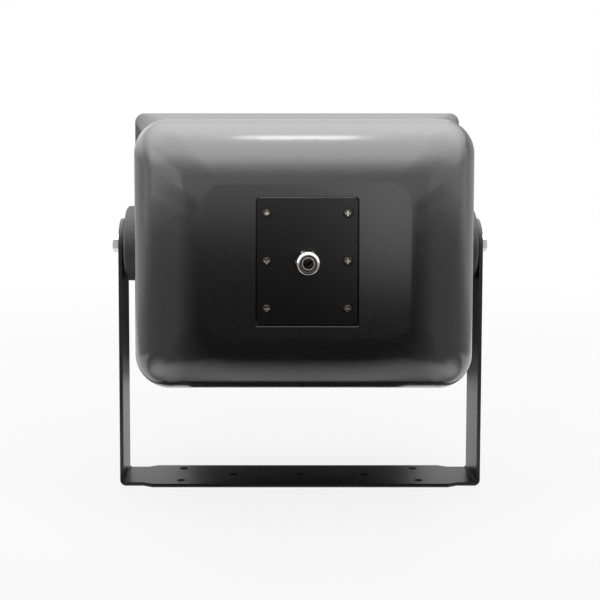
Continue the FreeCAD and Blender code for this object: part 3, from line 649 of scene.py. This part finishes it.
def ground_material():
    # What the gloss sees of the studio floor: pale under the rear edge, then dark, and grey to the sides.
    material, tree, strength = glowing_material("ground_card")
    ahead = coordinate(tree, "Y")
    slope = calculate(tree, "DIVIDE", sideways(tree), calculate(tree, "MAXIMUM", ahead, GROUND_CLOSEST))
    grey = ramp(tree, slope, *GROUND_SLOPES, *GROUND_GREYS)
    from_edge = calculate(tree, "SUBTRACT", ahead, graded(tree, sideways(tree), GROUND_BEND))
    near = graded(tree, from_edge, GROUND_AHEAD)
    near = calculate(tree, "MULTIPLY", near, graded(tree, sideways(tree), GROUND_ACROSS))
    tree.links.new(calculate(tree, "MAXIMUM", grey, near), strength)
    return material


def beside_material():
    # The floor beside the object, palest next to it and paler again towards the far end of the studio.
    material, tree, strength = glowing_material("beside_card")
    along = ramp(tree, coordinate(tree, "Y"), *BESIDE_AHEAD, *BESIDE_GREYS)
    close = ramp(tree, sideways(tree), *BESIDE_PALE, 1.0, 0.0)
    tree.links.new(calculate(tree, "MAXIMUM", along, close), strength)
    return material


def sky_material():
    # A broad diffuser overhead, brightest above the object and fading to all sides.
    material, tree, strength = glowing_material("sky_card")
    along = graded(tree, coordinate(tree, "Y"), SKY_AHEAD)
    across = graded(tree, coordinate(tree, "X"), SKY_ACROSS)
    tree.links.new(calculate(tree, "ADD", calculate(tree, "MULTIPLY", along, across), SKY_LEAST), strength)
    return material


def fill_material():
    # A soft pale patch low on the right in front of the object, which adds to what lies behind it.
    material, tree, strength = glowing_material("fill_card")
    across = graded(tree, coordinate(tree, "X"), FILL_ACROSS)
    upwards = graded(tree, coordinate(tree, "Z"), FILL_UPWARDS)
    tree.links.new(calculate(tree, "MULTIPLY", across, upwards), strength)
    clear = add(tree, "ShaderNodeBsdfTransparent")
    both = add(tree, "ShaderNodeAddShader")
    output = tree.nodes["Material Output"].inputs["Surface"]
    tree.links.new(output.links[0].from_socket, both.inputs[0])
    tree.links.new(clear.outputs["BSDF"], both.inputs[1])
    tree.links.new(both.outputs["Shader"], output)
    return material


def wall_material(rise):
    # The dim far corners of the studio, one of them paler towards the top.
    material, tree, strength = glowing_material("wall_card")
    across = ramp(tree, sideways(tree), *WALL_SIDES, *WALL_GREYS)
    upwards = ramp(tree, coordinate(tree, "Z"), *WALL_TOP, 0.0, rise)
    tree.links.new(calculate(tree, "ADD", across, upwards), strength)
    return material


def reflection_card(name, corners, material):
    # A card that only reflections see, as a black flag does in a studio.
    obj = card(name, corners, material)
    obj.visible_camera = False
    obj.visible_diffuse = False
    obj.visible_shadow = False
    obj.visible_transmission = False


def make_cards():
    low = cad_low.z + CARD_LIFT
    reflection_card("ground", lying(-GROUND_HALF, GROUND_HALF, low, GROUND_NEAR, GROUND_FAR), ground_material())
    reflection_card("sky", lying(-SKY_HALF, SKY_HALF, SKY_HEIGHT, -SKY_DEPTH, SKY_DEPTH), sky_material())
    left, right, high = FILL_ACROSS[-1][0], FILL_ACROSS[0][0], FILL_UPWARDS[-1][0]
    reflection_card("fill", upright(left, right, FILL_Y, low, high), fill_material())
    for side in (-1, 1):
        corners = lying(side * BESIDE_NEAR, side * GROUND_HALF, low, BESIDE_FAR, GROUND_NEAR)
        reflection_card("beside", corners, beside_material())
        near, far = ((side * x, y) for x, y in (WALL_NEAR, WALL_FAR))
        corners = [(*near, low), (*far, low), (*far, WALL_HIGH), (*near, WALL_HIGH)]
        reflection_card("wall", corners, wall_material(WALL_RISE[side]))
    dark = dark_material()
    # Painted shadow: dark cards that only reflections see, on the floor under the shell where it lies in shade
    reflection_card("painted_shadow_under", lying(-PAINTED_SHADOW_HALF, PAINTED_SHADOW_HALF, low, PAINTED_SHADOW_FRONT, PAINTED_SHADOW_REAR), dark)
    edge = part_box("u_bracket")[1].y
    reflection_card("painted_shadow_edge", lying(-PAINTED_SHADOW_EDGE_HALF, PAINTED_SHADOW_EDGE_HALF, low + PAINTED_SHADOW_EDGE_LIFT, edge, PAINTED_SHADOW_EDGE_FAR), dark)
    reflection_card("flag_behind", upright(BEHIND_LEFT, BEHIND_RIGHT, BEHIND_Y, BEHIND_LOW, BEHIND_HIGH), dark)


def area_light(name, place, target, size, energy):
    data = bpy.data.lights.new(name, "AREA")
    data.shape = "RECTANGLE"
    data.size, data.size_y = size
    data.energy = energy
    obj = bpy.data.objects.new(name, data)
    obj.location = place
    obj.rotation_mode = "QUATERNION"
    obj.rotation_quaternion = (Vector(target) - Vector(place)).to_track_quat("-Z", "Y")
    bpy.context.scene.collection.objects.link(obj)
    return obj


def make_lights():
    # The key gives the soft light and isn't mirrored. The other lamps are only mirrored.
    area_light("key", *KEY_LAMP).visible_glossy = False
    area_light("overhead", *OVERHEAD_LAMP).visible_diffuse = False
    for side in (-1, 1):
        place = (side * SIDE_REACH, *SIDE_TARGET[1:])
        area_light("side", place, SIDE_TARGET, SIDE_SIZE, SIDE_ENERGY[side]).visible_diffuse = False


def make_camera():
    data = bpy.data.cameras.new("camera")
    data.sensor_width = CAMERA_SENSOR
    data.lens = CAMERA_LENS
    data.shift_x, data.shift_y = CAMERA_SHIFT
    data.clip_start = CAMERA_CLIP
    obj = bpy.data.objects.new("camera", data)
    forward = Vector((0.0, -math.cos(CAMERA_PITCH), math.sin(CAMERA_PITCH)))
    obj.location = CAMERA_PLACE
    obj.rotation_mode = "QUATERNION"
    obj.rotation_quaternion = forward.to_track_quat("-Z", "Y")
    bpy.context.scene.collection.objects.link(obj)
    bpy.context.scene.camera = obj


bpy.context.scene.view_settings.view_transform = "Standard"
materials = make_materials()
dress_nodes(materials)
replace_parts(make_nut(materials["nickel"]), "gland_nut")
make_claws(materials["nickel"])
white_world()
make_floor()
make_cards()
make_lights()
make_camera()
